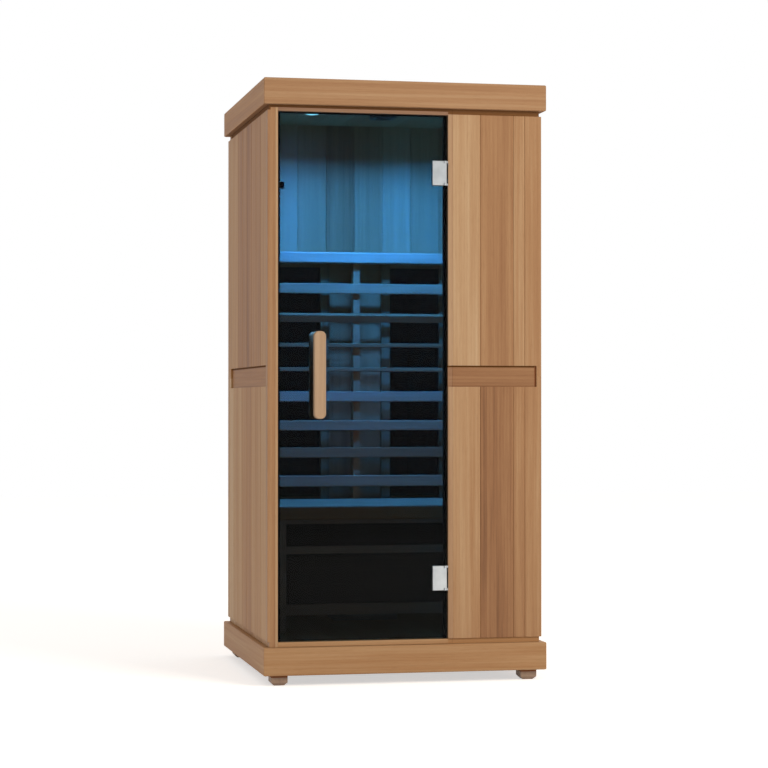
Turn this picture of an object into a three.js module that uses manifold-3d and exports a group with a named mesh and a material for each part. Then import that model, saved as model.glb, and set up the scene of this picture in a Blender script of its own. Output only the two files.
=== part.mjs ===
import * as THREE from 'three';
import { mergeVertices } from 'three/addons/utils/BufferGeometryUtils.js';
import Module from 'manifold-3d';

// One-person infrared sauna cabin with a tinted glass door.
// Millimetres, +Z up, +X to the right and +Y to the back, seen from the front. The floor is at Z = 0.

// Overall cabin
const WALL_WIDTH = 888; // over the outer boards, left to right
const WALL_DEPTH = 888; // over the outer boards, front to back
const CABIN_HEIGHT = 1905;
const SEAM = 0.3; // gap left between pieces that touch
const MITRE_GAP = 0.2;

// Feet and plinth
const FOOT_HEIGHT = 33;
const FOOT_WIDTH = 52;
const FOOT_LENGTH = 60;
const FOOT_INSET = 40; // from the wall face to the foot's middle
const FOOT_CHAMFER = 10;
const PLINTH_HEIGHT = 88;
const PLINTH_OVERHANG = 13;
const PLINTH_THICKNESS = 22;
const DECK_THICKNESS = 25;
const JOIST_WIDTH = 46;
const FLOOR_BOARD_THICKNESS = 18;
const FLOOR_BOARD_WIDTH = 90;

// Cap and roof
const CAP_HEIGHT = 83;
const CAP_OVERHANG = 13;
const CAP_THICKNESS = 18;
const EDGE_ROUND = 4; // outer edges of the plinth and cap boards
const CEILING_THICKNESS = 27;
const CEILING_BOARD_WIDTH = 96;
const ROOF_COVER_THICKNESS = 9;
const ROOF_COVER_DROP = 3; // below the top of the cap

// Walls
const PANEL_THICKNESS = 26;
const LINING_THICKNESS = 10;
const REVEAL_HEIGHT = 17; // shadow gap under the cap and over the plinth
const NECK_CLEARANCE = 1; // from the wall's neck to the cap board in front of it
const SIDE_BOARD_WIDTH = 102;
const BACK_BOARD_WIDTH = 102;
// Shares of the front panel's width, from the hinge jamb; the corner board takes the rest
const FRONT_BOARD_SHARES = [0.3085, 0.3737, 0.1268];
const GROOVE = { width: 5, depth: 2.5 }; // between outer boards
const LINING_BOARD_WIDTH = 100.6;
const LINING_GROOVE = { width: 3, depth: 2 };
const BELT_HEIGHT = 67;
const BELT_RECESS = 6;
const BELT_CORNER_STRIP = 16; // board left beside the belt at the front right corner
const BELT_BACK_STRIP = 35; // board left behind the belt on the side walls

// Door opening
const STILE_WIDTH = 33;
const STILE_STRIP = 9; // edge strip of the stile beside the door
const STILE_GROOVE = { width: 2, depth: 1.5 };
const OPENING_WIDTH = 548;
const SILL_HEIGHT = 16;
const SILL_ROUND = 2;
const HEAD_FACE_HEIGHT = 11;
const HEAD_REVEAL = 9;
const JAMB_WIDTH = 15;
const LATCH_STOP_WIDTH = 9;
const HINGE_STOP_WIDTH = 10.5;
const HEAD_STOP_HEIGHT = 4.5;
const HEAD_STOP_DEPTH = 10;

// Glass door
const GLASS_THICKNESS = 8;
const GLASS_SETBACK = 6; // behind the wall face
const GLASS_GAP = 3; // to the frame, all round
const STOP_CLEARANCE = 2.5; // from the closed glass to the stops

// Hinges
const HINGE_INSETS = { lower: 193, upper: 185 }; // from the end of the opening to the hinge's middle
const HINGE_HEIGHT = 78;
const HINGE_PLATE_WIDTH = 36;
const HINGE_PLATE_THICKNESS = 10;
const HINGE_PLATE_CHAMFER = 1.2;
const INNER_PLATE_WIDTH = 31;
const INNER_PLATE_THICKNESS = 5;
const PIVOT_INSET = 9.3; // from the jamb face to the hinge axis
const KNUCKLE_RADIUS = 5;
const KNUCKLE_GAP = 0.5;
const JAMB_KNUCKLE_HEIGHT = 7; // one at each end of the pin
const PIN_RADIUS = 2.4;
const PIN_CLEARANCE = 0.35;
const PIVOT_REACH = 6; // from the hinge axis to the plate's edge beside the jamb knuckles
const LEAF_THICKNESS = 2.5;
const LEAF_DEPTH = 28;
const LEAF_WEB_THICKNESS = 3.2;
const CLAMP_BOSS_RADIUS = 5;
const CLAMP_BOSS_SPACING = 44;
const GLASS_HOLE_CLEARANCE = 0.5;

// Handles
const HANDLE_WIDTH = 38;
const HANDLE_LENGTH = 275;
const HANDLE_THICKNESS = 24;
const HANDLE_CENTRE_HEIGHT = 973.5;
const HANDLE_INSET = 127; // from the edge of the opening to the handle's middle
const HANDLE_GAP = 24;
const HANDLE_CORNER_RADIUS = 16;
const HANDLE_EDGE_ROUND = 4;
const BOLT_SPACING = 190;
const BOLT_SPACER_RADIUS = 8;
const BOLT_RADIUS = 4;
const BOLT_DEPTH = 12; // into each handle

// Door catch
const CATCH_WIDTH = 23;
const CATCH_HEIGHT = 21;
const CATCH_DROP = 231; // from the top of the opening to the catch's middle
const CATCH_CLEARANCE = 1; // to the closed glass
const CATCH_DEPTH = 16;
const CATCH_CHAMFER = 2;

// Bench
const BENCH_TOP = 550;
const BENCH_THICKNESS = 26;
const BENCH_DEPTH = 578; // from the back lining to the front edge
const BENCH_EDGE_HEIGHT = 45; // of the edge board along the front
const BENCH_EDGE_THICKNESS = 24;
const SEAT_BOARD_COUNT = 5;
const SEAT_GAP = 8;
const SEAT_NOSE_ROUND = 6;
const BATTEN_WIDTH = 40;
const BATTEN_HEIGHT = 19;
const BATTEN_INSET = 78; // from the side lining to the middle of an outer batten
const BATTEN_SETBACK = 18; // behind the bench front
const BENCH_FRONT_SETBACK = 8;
const BENCH_FRONT_THICKNESS = 18;
const BENCH_TOP_RAIL = 14;
const BENCH_BOTTOM_RAIL = 35;
const BENCH_TOE_SPACE = 55; // under the bottom rail
const BENCH_MID_RAIL = 24;
const BENCH_MID_RAIL_BOTTOM = 394;
const BENCH_STILE_WIDTH = 70;
const CLEAT_THICKNESS = 18;
const CLEAT_HEIGHT = 30;

// Backrest and heaters
const SLAT_THICKNESS = 11;
const SLAT_SETOFF = 52; // from the back lining to the front of the slats
const SLATS = [ // middle height above the floor, height
  [1288, 35],
  [1186, 32],
  [1089, 14],
  [1004, 14],
  [909, 35],
  [808, 35],
  [713, 35],
  [613, 38],
];
const SLAT_EDGE_ROUND = 2;
const WEDGE_SLAT = 2; // number of the slat whose face leans forward at the top
const WEDGE_BEVEL = 9; // height of its upper slope
const WEDGE_TOE = 3; // its thickness at the bottom
const RIB_WIDTH = 24;
const LEDGE_BOTTOM = 1377;
const LEDGE_HEIGHT = 38;
const LEDGE_OVERHANG = 5; // in front of the slats
const LEDGE_ROUND = 4;
const POST_WIDTH = 31;
const POST_DEPTH = 21;
const INNER_POST_X = 109;
const OUTER_POST_INSET = 89; // from the side lining to the post's middle
const HEATER_GAP = 2; // between a heater and its posts
const HEATER_DEPTH = 14;
const HEATER_LIP = 8;
const HEATER_RECESS = 4;
const EMITTER_WIDTH = 46;
const EMITTER_HEIGHT = 2.5;
const HEATER_LIFT = 8; // above the bench
const HEATER_TOP_GAP = 14; // under the ledge
const LEG_HEATER_LAP = 14; // behind the bench front, round its window

// Ceiling light
const LIGHT_X = -211;
const LIGHT_Y = 72;
const LIGHT_RADIUS = 31;
const LIGHT_BODY_RADIUS = 25;
const LIGHT_BODY_HEIGHT = 12;
const LIGHT_FLANGE = 3.5;
const LIGHT_LENS_RADIUS = 24;
const LIGHT_LENS_DROP = 4;
const LIGHT_CHAMFER = 1.5;

// Roof vent
const VENT_X = 35;
const VENT_Y = 78;
const VENT_WIDTH = 80;
const VENT_LENGTH = 72;
const VENT_HEIGHT = 14;
const VENT_WALL = 5; // end wall of the slide channel
const VENT_SLIDE_WIDTH = 60;
const VENT_SLIDE_THICKNESS = 5;
const VENT_SLIDE_CLEARANCE = 0.5;
const VENT_FLOOR = 5; // under the slide channel
const VENT_CHAMFER = 2.5;
const VENT_LEDGE = 6; // that carries the slide on each side
const VENT_KNOB_RADIUS = 6;
const VENT_KNOB_LENGTH = 9;

// Control panel and power box
const CONTROL = { width: 130, height: 90, depth: 16, centreZ: 1250 };
const CONTROL_CHAMFER = 4;
const SCREEN = { width: 92, height: 42, depth: 1.5, rise: 12 };
const POWER_BOX = { width: 220, depth: 130, height: 80, backGap: 78, lidLip: 4, lidHeight: 18 };
const GLAND = { radius: 11, length: 16 };

// Rounding steps
const ARC_STEPS = 3;
const ROUND_SIDES = 16;
const DISC_SIDES = 32;
const BOOLEAN_MARGIN = 5; // cutters reach this far past the faces that they cut

// Levels and faces that follow from the sizes above
const halfWidth = WALL_WIDTH / 2;
const halfDepth = WALL_DEPTH / 2;
const plinthTop = FOOT_HEIGHT + PLINTH_HEIGHT;
const capBottom = CABIN_HEIGHT - CAP_HEIGHT;
const coverTop = CABIN_HEIGHT - ROOF_COVER_DROP;
const coverBottom = coverTop - ROOF_COVER_THICKNESS;
const ceilingTop = coverBottom - SEAM;
const ceilingLevel = ceilingTop - CEILING_THICKNESS;
const wallSpan = [plinthTop + SEAM, ceilingLevel - SEAM];
const boardSpan = [plinthTop + REVEAL_HEIGHT, capBottom - REVEAL_HEIGHT];
const beltSpan = around((boardSpan[0] + boardSpan[1]) / 2, BELT_HEIGHT);
const wallThickness = PANEL_THICKNESS + LINING_THICKNESS;
const innerX = halfWidth - wallThickness;
const innerY = halfDepth - wallThickness;
const revealDepth = CAP_THICKNESS - CAP_OVERHANG + NECK_CLEARANCE;
const neckX = halfWidth - revealDepth;
const neckY = halfDepth - revealDepth;
const floorTop = plinthTop + FLOOR_BOARD_THICKNESS;

const openingLeft = -halfWidth + STILE_WIDTH;
const openingRight = openingLeft + OPENING_WIDTH;
const openingBottom = plinthTop + SILL_HEIGHT;
const headFaceTop = capBottom - HEAD_REVEAL;
const openingTop = headFaceTop - HEAD_FACE_HEIGHT;
const panelLeft = openingRight + JAMB_WIDTH + SEAM;
const glassFront = -halfDepth + GLASS_SETBACK;
const glassBack = glassFront + GLASS_THICKNESS;
const stopFront = glassBack + STOP_CLEARANCE;
const stopSpan = [openingBottom + SEAM, openingTop - SEAM];
const pivot = { x: openingRight - PIVOT_INSET, y: glassFront - SEAM - KNUCKLE_RADIUS };
const leafFront = glassFront - SEAM - LEAF_WEB_THICKNESS;
const leafRun = [leafFront, leafFront + LEAF_DEPTH];
const handleX = openingLeft + HANDLE_INSET;
const hingeCentres = { lower: openingBottom + HINGE_INSETS.lower, upper: openingTop - HINGE_INSETS.upper };
const catchHeight = openingTop - CATCH_DROP;

const benchFrontEdge = innerY - BENCH_DEPTH;
const seatUnderside = BENCH_TOP - BENCH_THICKNESS;
const benchEdgeBottom = BENCH_TOP - BENCH_EDGE_HEIGHT;
const benchFrontFace = benchFrontEdge + BENCH_FRONT_SETBACK;
const benchFrontBack = benchFrontFace + BENCH_FRONT_THICKNESS;
const slatFront = innerY - SLAT_SETOFF;
const slatBack = slatFront + SLAT_THICKNESS;
const postFront = innerY - POST_DEPTH;
const outerPostX = innerX - OUTER_POST_INSET;

// Wood, glass, metal and plastic finishes
const FINISHES = {
  wallBoards: { color: 0xb98a5a, roughness: 0.55, metalness: 0 },
  trimBoards: { color: 0xb57d4a, roughness: 0.5, metalness: 0 },
  liningBoards: { color: 0xc09468, roughness: 0.6, metalness: 0 },
  benchWood: { color: 0xc39a70, roughness: 0.55, metalness: 0 },
  handleWood: { color: 0xcda274, roughness: 0.45, metalness: 0 },
  plywood: { color: 0xa98a63, roughness: 0.7, metalness: 0 },
  tintedGlass: { color: 0x1a1e22, roughness: 0.05, metalness: 0, transparent: true, opacity: 0.6 },
  satinMetal: { color: 0xd9dbd8, roughness: 0.35, metalness: 0.85 },
  heaterBlack: { color: 0x1b1b1d, roughness: 0.7, metalness: 0 },
  blackPlastic: { color: 0x151517, roughness: 0.5, metalness: 0 },
  lightLens: { color: 0x9fe4ff, roughness: 0.3, metalness: 0, emissive: 0x2aa6ff },
  boxSteel: { color: 0x8d9196, roughness: 0.5, metalness: 0.6 },
};

const wasm = await Module();
wasm.setup();

const cabin = new THREE.Group();

function addPiece(name, geometry, finish) {
  const mesh = new THREE.Mesh(geometry, new THREE.MeshStandardMaterial(FINISHES[finish]));
  mesh.name = name;
  cabin.add(mesh);
}

// Joining and cutting

function toSolid(geometry) {
  const bare = geometry.clone();
  bare.deleteAttribute('normal');
  bare.deleteAttribute('uv');
  const merged = mergeVertices(bare);
  const vertProperties = new Float32Array(merged.attributes.position.array);
  const triVerts = new Uint32Array(merged.index.array);
  return new wasm.Manifold(new wasm.Mesh({ numProp: 3, vertProperties, triVerts }));
}

function toGeometry(solid) {
  const { vertProperties, triVerts } = solid.getMesh();
  const geometry = new THREE.BufferGeometry();
  geometry.setAttribute('position', new THREE.BufferAttribute(vertProperties, 3));
  geometry.setIndex(new THREE.BufferAttribute(triVerts, 1));
  geometry.computeVertexNormals();
  return geometry;
}

function join(first, ...others) {
  return toGeometry(others.reduce((solid, other) => solid.add(toSolid(other)), toSolid(first)));
}

function cut(first, ...tools) {
  return toGeometry(tools.reduce((solid, tool) => solid.subtract(toSolid(tool)), toSolid(first)));
}

function common(first, second) {
  return toGeometry(toSolid(first).intersect(toSolid(second)));
}

// Basic forms. A span is a [low, high] pair along one axis.

function around(middle, size) {
  return [middle - size / 2, middle + size / 2];
}

function widened([low, high], margin) {
  return [low - margin, high + margin];
}

function block([x0, x1], [y0, y1], [z0, z1]) {
  const geometry = new THREE.BoxGeometry(x1 - x0, y1 - y0, z1 - z0);
  return geometry.translate((x0 + x1) / 2, (y0 + y1) / 2, (z0 + z1) / 2);
}

function extrude(outline, length, options = {}) {
  const shape = outline instanceof THREE.Shape
    ? outline
    : new THREE.Shape(outline.map(([u, v]) => new THREE.Vector2(u, v)));
  return new THREE.ExtrudeGeometry(shape, { depth: length, bevelEnabled: false, ...options });
}

// Outline in (x, y), swept upwards
function prismZ(outline, [low, high]) {
  return extrude(outline, high - low).translate(0, 0, low);
}

// Outline in (y, z), swept to the right
function prismX(outline, [low, high]) {
  const turn = new THREE.Matrix4().makeBasis(
    new THREE.Vector3(0, 1, 0),
    new THREE.Vector3(0, 0, 1),
    new THREE.Vector3(1, 0, 0),
  );
  return extrude(outline, high - low).applyMatrix4(turn).translate(low, 0, 0);
}

// Outline in (x, z), swept from front to back
function prismY(outline, [low, high], options = {}) {
  return extrude(outline, high - low, options).rotateX(Math.PI / 2).translate(0, high, 0);
}

function uprightCylinder(radius, [low, high], x, y, sides = ROUND_SIDES) {
  const geometry = new THREE.CylinderGeometry(radius, radius, high - low, sides);
  return geometry.rotateX(Math.PI / 2).translate(x, y, (low + high) / 2);
}

function levelCylinder(radius, [low, high], x, z, sides = ROUND_SIDES) {
  const geometry = new THREE.CylinderGeometry(radius, radius, high - low, sides);
  return geometry.translate(x, (low + high) / 2, z);
}

// Points of a quarter circle from one angle to another, both included
function arc(centreU, centreV, radius, fromAngle, toAngle) {
  const points = [];
  for (let step = 0; step <= ARC_STEPS; step += 1) {
    const angle = fromAngle + ((toAngle - fromAngle) * step) / ARC_STEPS;
    points.push([centreU + radius * Math.cos(angle), centreV + radius * Math.sin(angle)]);
  }
  return points;
}

// Rectangle whose two corners at the low end of u are rounded
function noseOutline([u0, u1], [v0, v1], radius) {
  return [
    [u1, v0],
    ...arc(u0 + radius, v0 + radius, radius, -Math.PI / 2, -Math.PI),
    ...arc(u0 + radius, v1 - radius, radius, Math.PI, Math.PI / 2),
    [u1, v1],
  ];
}

// Block with its front edges (towards -Y) chamfered on all four sides
function chamferedFace(xSpan, [y0, y1], zSpan, chamfer) {
  const sideways = [
    [xSpan[0], y1],
    [xSpan[0], y0 + chamfer],
    [xSpan[0] + chamfer, y0],
    [xSpan[1] - chamfer, y0],
    [xSpan[1], y0 + chamfer],
    [xSpan[1], y1],
  ];
  const upright = [
    [y1, zSpan[0]],
    [y0 + chamfer, zSpan[0]],
    [y0, zSpan[0] + chamfer],
    [y0, zSpan[1] - chamfer],
    [y0 + chamfer, zSpan[1]],
    [y1, zSpan[1]],
  ];
  return common(prismZ(sideways, zSpan), prismX(upright, xSpan));
}

// Block with its lower edges chamfered on all four sides
function chamferedUnderside(xSpan, ySpan, [z0, z1], chamfer) {
  const profile = ([low, high]) => [
    [low, z1],
    [low, z0 + chamfer],
    [low + chamfer, z0],
    [high - chamfer, z0],
    [high, z0 + chamfer],
    [high, z1],
  ];
  return common(prismY(profile(xSpan), ySpan), prismX(profile(ySpan), xSpan));
}

// Board joints: seams at an even pitch close to the board width
function evenSeams([start, end], boardWidth) {
  const count = Math.max(1, Math.round((end - start) / boardWidth));
  const seams = [];
  for (let index = 1; index < count; index += 1) {
    seams.push(start + ((end - start) * index) / count);
  }
  return seams;
}

// Outline of a boarded panel along s, from its back t to its face t, with a V-groove at each seam
function boardedOutline([start, end], back, face, seams, groove) {
  const inward = Math.sign(back - face);
  const outline = [[start, back], [start, face]];
  for (const seam of seams) {
    outline.push(
      [seam - groove.width / 2, face],
      [seam, face + inward * groove.depth],
      [seam + groove.width / 2, face],
    );
  }
  outline.push([end, face], [end, back]);
  return outline;
}

function swapped(outline) {
  return outline.map(([u, v]) => [v, u]);
}

// Heights at which a wall steps back to its neck, above and below the boards
const neckSpans = [
  [wallSpan[0] - BOOLEAN_MARGIN, boardSpan[0]],
  [boardSpan[1], wallSpan[1] + BOOLEAN_MARGIN],
];
const beyondX = [neckX, halfWidth + BOOLEAN_MARGIN];
const beyondY = [neckY, halfDepth + BOOLEAN_MARGIN];
const acrossX = widened([-halfWidth, halfWidth], BOOLEAN_MARGIN);
const acrossY = widened([-halfDepth, halfDepth], BOOLEAN_MARGIN);

function mirrored([low, high]) {
  return [-high, -low];
}

function neckCutters({ left = false, right = false, front = false, back = false }) {
  const cutters = [];
  for (const span of neckSpans) {
    if (left) cutters.push(block(mirrored(beyondX), acrossY, span));
    if (right) cutters.push(block(beyondX, acrossY, span));
    if (front) cutters.push(block(acrossX, mirrored(beyondY), span));
    if (back) cutters.push(block(acrossX, beyondY, span));
  }
  return cutters;
}

// Four mitred boards round the cabin, with rounded outer edges

function mitredBoard(halfLength, reach, thickness, [low, high]) {
  const outline = noseOutline([-reach, -reach + thickness], [low, high], EDGE_ROUND);
  const plan = [
    [-halfLength + MITRE_GAP, -reach],
    [halfLength - MITRE_GAP, -reach],
    [halfLength - thickness - MITRE_GAP, -reach + thickness],
    [-halfLength + thickness + MITRE_GAP, -reach + thickness],
  ];
  const board = prismX(outline, [-halfLength, halfLength]);
  return common(board, prismZ(plan, widened([low, high], BOOLEAN_MARGIN)));
}

function addMitredBoards(prefix, overhang, thickness, span) {
  const reachX = halfWidth + overhang;
  const reachY = halfDepth + overhang;
  const sides = [
    ['front', reachX, reachY, 0],
    ['right', reachY, reachX, Math.PI / 2],
    ['back', reachX, reachY, Math.PI],
    ['left', reachY, reachX, -Math.PI / 2],
  ];
  for (const [side, halfLength, reach, turn] of sides) {
    const board = mitredBoard(halfLength, reach, thickness, span).rotateZ(turn);
    addPiece(`${prefix}_${side}`, board, 'trimBoards');
  }
}

// Base: feet, plinth and floor

function addFeet() {
  const top = FOOT_HEIGHT - SEAM;
  const profile = (size) => [
    [-size / 2, top],
    [-size / 2, FOOT_CHAMFER],
    [-size / 2 + FOOT_CHAMFER, 0],
    [size / 2 - FOOT_CHAMFER, 0],
    [size / 2, FOOT_CHAMFER],
    [size / 2, top],
  ];
  for (const [depthName, depthSign] of [['front', -1], ['back', 1]]) {
    for (const [sideName, sideSign] of [['left', -1], ['right', 1]]) {
      const foot = common(
        prismY(profile(FOOT_WIDTH), around(0, FOOT_LENGTH)),
        prismX(profile(FOOT_LENGTH), around(0, FOOT_WIDTH)),
      );
      foot.translate(sideSign * (halfWidth - FOOT_INSET), depthSign * (halfDepth - FOOT_INSET), 0);
      addPiece(`foot_${depthName}_${sideName}`, foot, 'trimBoards');
    }
  }
}

function addFloor() {
  const deckX = halfWidth + PLINTH_OVERHANG - PLINTH_THICKNESS - SEAM;
  const deckY = halfDepth + PLINTH_OVERHANG - PLINTH_THICKNESS - SEAM;
  const deckBottom = plinthTop - DECK_THICKNESS;
  const deck = block([-deckX, deckX], [-deckY, deckY], [deckBottom, plinthTop]);
  const boardsAcross = [-innerX + SEAM, innerX - SEAM];
  const boardOutline = boardedOutline(
    boardsAcross, deckBottom, floorTop, evenSeams(boardsAcross, FLOOR_BOARD_WIDTH), LINING_GROOVE,
  );
  const boards = prismY(boardOutline, [-innerY + SEAM, innerY - SEAM]);
  const joistX = halfWidth - FOOT_INSET;
  const joists = [-joistX, 0, joistX].map((x) => (
    block(around(x, JOIST_WIDTH), [-deckY, deckY], [FOOT_HEIGHT, plinthTop])
  ));
  addPiece('floor_panel', join(deck, boards, ...joists), 'liningBoards');
}

// Walls

const sideRun = [-innerY + SEAM, innerY - SEAM];
const liningX = halfWidth - PANEL_THICKNESS - SEAM;
const liningY = halfDepth - PANEL_THICKNESS - SEAM;

function mirrorX(geometry) {
  const flipped = geometry.clone().scale(-1, 1, 1);
  const { array } = flipped.index;
  for (let corner = 0; corner < array.length; corner += 3) {
    [array[corner], array[corner + 1]] = [array[corner + 1], array[corner]];
  }
  flipped.computeVertexNormals();
  return flipped;
}

function rightWallPanel() {
  const seams = evenSeams(sideRun, SIDE_BOARD_WIDTH);
  const outline = boardedOutline(sideRun, halfWidth - PANEL_THICKNESS, halfWidth, seams, GROOVE);
  const belt = block(
    [halfWidth - BELT_RECESS, halfWidth + BOOLEAN_MARGIN],
    [sideRun[0] - BOOLEAN_MARGIN, sideRun[1] - BELT_BACK_STRIP],
    beltSpan,
  );
  return cut(prismZ(swapped(outline), wallSpan), belt, ...neckCutters({ right: true }));
}

function rightLining() {
  const seams = evenSeams(sideRun, LINING_BOARD_WIDTH);
  const outline = boardedOutline(sideRun, liningX, innerX, seams, LINING_GROOVE);
  const cleatX = [innerX - CLEAT_THICKNESS, liningX];
  const benchCleat = block(
    cleatX,
    [benchFrontBack + SEAM, postFront - SEAM],
    [seatUnderside - SEAM - CLEAT_HEIGHT, seatUnderside - SEAM],
  );
  const slatCleat = block(
    cleatX,
    [slatBack + SEAM, postFront - SEAM],
    [BENCH_TOP + SEAM, LEDGE_BOTTOM - SEAM],
  );
  return join(prismZ(swapped(outline), wallSpan), benchCleat, slatCleat);
}

function addSideWalls() {
  const panel = rightWallPanel();
  const lining = rightLining();
  addPiece('right_wall_panel', panel, 'wallBoards');
  addPiece('left_wall_panel', mirrorX(panel), 'wallBoards');
  addPiece('right_lining', lining, 'liningBoards');
  addPiece('left_lining', mirrorX(lining), 'liningBoards');
}

function addBackWall() {
  const run = [-halfWidth, halfWidth];
  const inside = halfDepth - PANEL_THICKNESS;
  const boards = boardedOutline(run, inside, halfDepth, evenSeams(run, BACK_BOARD_WIDTH), GROOVE);
  const corners = [[-halfWidth, -innerX], [innerX, halfWidth]].map((xSpan) => (
    block(xSpan, [innerY, inside + SEAM], wallSpan)
  ));
  const panel = join(prismZ(boards, wallSpan), ...corners);
  const necks = neckCutters({ left: true, right: true, back: true });
  addPiece('back_wall_panel', cut(panel, ...necks), 'wallBoards');

  const liningRun = [-innerX + SEAM, innerX - SEAM];
  const liningSeams = evenSeams(liningRun, LINING_BOARD_WIDTH);
  const lining = boardedOutline(liningRun, liningY, innerY, liningSeams, LINING_GROOVE);
  const postSpan = [floorTop + SEAM, LEDGE_BOTTOM - SEAM];
  const posts = [-outerPostX, -INNER_POST_X, INNER_POST_X, outerPostX].map((x) => (
    block(around(x, POST_WIDTH), [postFront, liningY], postSpan)
  ));
  addPiece('back_lining', join(prismZ(lining, wallSpan), ...posts), 'liningBoards');
}

function addFrontPanel() {
  const run = [panelLeft, halfWidth];
  const inside = -halfDepth + PANEL_THICKNESS;
  const seams = [];
  let seam = panelLeft;
  for (const share of FRONT_BOARD_SHARES) {
    seam += share * (halfWidth - panelLeft);
    seams.push(seam);
  }
  const boards = prismZ(boardedOutline(run, inside, -halfDepth, seams, GROOVE), wallSpan);
  const corner = block([innerX, halfWidth], [inside - SEAM, -innerY], wallSpan);
  const belt = block(
    [panelLeft - BOOLEAN_MARGIN, halfWidth - BELT_CORNER_STRIP],
    [-halfDepth - BOOLEAN_MARGIN, -halfDepth + BELT_RECESS],
    beltSpan,
  );
  const necks = neckCutters({ right: true, front: true });
  addPiece('front_panel', cut(join(boards, corner), belt, ...necks), 'wallBoards');

  const liningRun = [panelLeft, innerX - SEAM];
  const liningSeams = evenSeams(liningRun, LINING_BOARD_WIDTH);
  const lining = boardedOutline(liningRun, -liningY, -innerY, liningSeams, LINING_GROOVE);
  addPiece('front_lining', prismZ(lining, wallSpan), 'liningBoards');
}

// Frame of the door opening

function addLeftStile() {
  const run = [-halfWidth, openingLeft];
  const seams = [openingLeft - STILE_STRIP];
  const outline = boardedOutline(run, -innerY, -halfDepth, seams, STILE_GROOVE);
  const stopX = openingLeft + LATCH_STOP_WIDTH;
  const stop = block([openingLeft - SEAM, stopX], [stopFront, -innerY], stopSpan);
  const catchPocket = block(
    [openingLeft, stopX + BOOLEAN_MARGIN],
    widened([stopFront, stopFront + CATCH_DEPTH], SEAM),
    widened(around(catchHeight, CATCH_HEIGHT), SEAM),
  );
  const stile = join(prismZ(outline, wallSpan), stop);
  const headNeck = block(acrossX, mirrored(beyondY), [headFaceTop, wallSpan[1] + BOOLEAN_MARGIN]);
  addPiece('left_stile', cut(stile, catchPocket, headNeck, ...neckCutters({ left: true })), 'trimBoards');
}

function addHeadRail() {
  const outline = [
    [-halfDepth, openingTop],
    [-halfDepth, headFaceTop],
    [-neckY, headFaceTop],
    [-neckY, wallSpan[1]],
    [-innerY, wallSpan[1]],
    [-innerY, openingTop],
  ];
  const rail = prismX(outline, [openingLeft + SEAM, openingRight - SEAM]);
  const stop = block(
    [openingLeft + LATCH_STOP_WIDTH + SEAM, openingRight - HINGE_STOP_WIDTH - SEAM],
    [stopFront, stopFront + HEAD_STOP_DEPTH],
    [openingTop - HEAD_STOP_HEIGHT, openingTop + SEAM],
  );
  addPiece('head_rail', join(rail, stop), 'trimBoards');
}

function addDoorSill() {
  const outline = noseOutline([-halfDepth, -innerY], [wallSpan[0], openingBottom], SILL_ROUND);
  addPiece('door_sill', prismX(outline, [openingLeft + SEAM, openingRight - SEAM]), 'trimBoards');
}

function addHingeJamb() {
  const post = block([openingRight, openingRight + JAMB_WIDTH], [-halfDepth, -innerY], wallSpan);
  const stop = block([openingRight - HINGE_STOP_WIDTH, openingRight + SEAM], [stopFront, -innerY], stopSpan);
  const belt = block(
    widened([openingRight, openingRight + JAMB_WIDTH], BOOLEAN_MARGIN),
    [-halfDepth - BOOLEAN_MARGIN, -halfDepth + BELT_RECESS],
    beltSpan,
  );
  const mortises = Object.values(hingeCentres).map((centre) => block(
    [openingRight - BOOLEAN_MARGIN, openingRight + LEAF_THICKNESS + SEAM],
    widened(leafRun, SEAM),
    widened(around(centre, HINGE_HEIGHT), SEAM),
  ));
  const necks = neckCutters({ front: true });
  addPiece('hinge_jamb', cut(join(post, stop), belt, ...mortises, ...necks), 'trimBoards');
}

// Roof, ceiling light and vent

const ventSlideLength = (VENT_LENGTH - 2 * VENT_WALL) / 2 - VENT_SLIDE_CLEARANCE;
const ventSlideMiddle = VENT_Y + ventSlideLength / 2 + VENT_SLIDE_CLEARANCE / 2;
const ventWindowX = around(VENT_X, VENT_SLIDE_WIDTH - 2 * VENT_LEDGE);
const ventThroatY = around(ventSlideMiddle, ventSlideLength - 2 * VENT_LEDGE);

function addRoof() {
  const reachX = halfWidth + CAP_OVERHANG - CAP_THICKNESS - SEAM;
  const reachY = halfDepth + CAP_OVERHANG - CAP_THICKNESS - SEAM;
  const run = [-reachX, reachX];
  const throat = block(ventWindowX, ventThroatY, widened([ceilingLevel, coverTop], BOOLEAN_MARGIN));
  const lightHole = uprightCylinder(
    LIGHT_BODY_RADIUS + SEAM,
    [ceilingLevel - BOOLEAN_MARGIN, ceilingLevel + LIGHT_BODY_HEIGHT + SEAM],
    LIGHT_X, LIGHT_Y, DISC_SIDES,
  );
  const boards = boardedOutline(
    run, ceilingTop, ceilingLevel, evenSeams(run, CEILING_BOARD_WIDTH), LINING_GROOVE,
  );
  addPiece('ceiling_panel', cut(prismY(boards, [-reachY, reachY]), throat, lightHole), 'liningBoards');
  const cover = block(run, [-reachY, reachY], [coverBottom, coverTop]);
  addPiece('roof_cover', cut(cover, throat), 'plywood');
}

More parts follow.
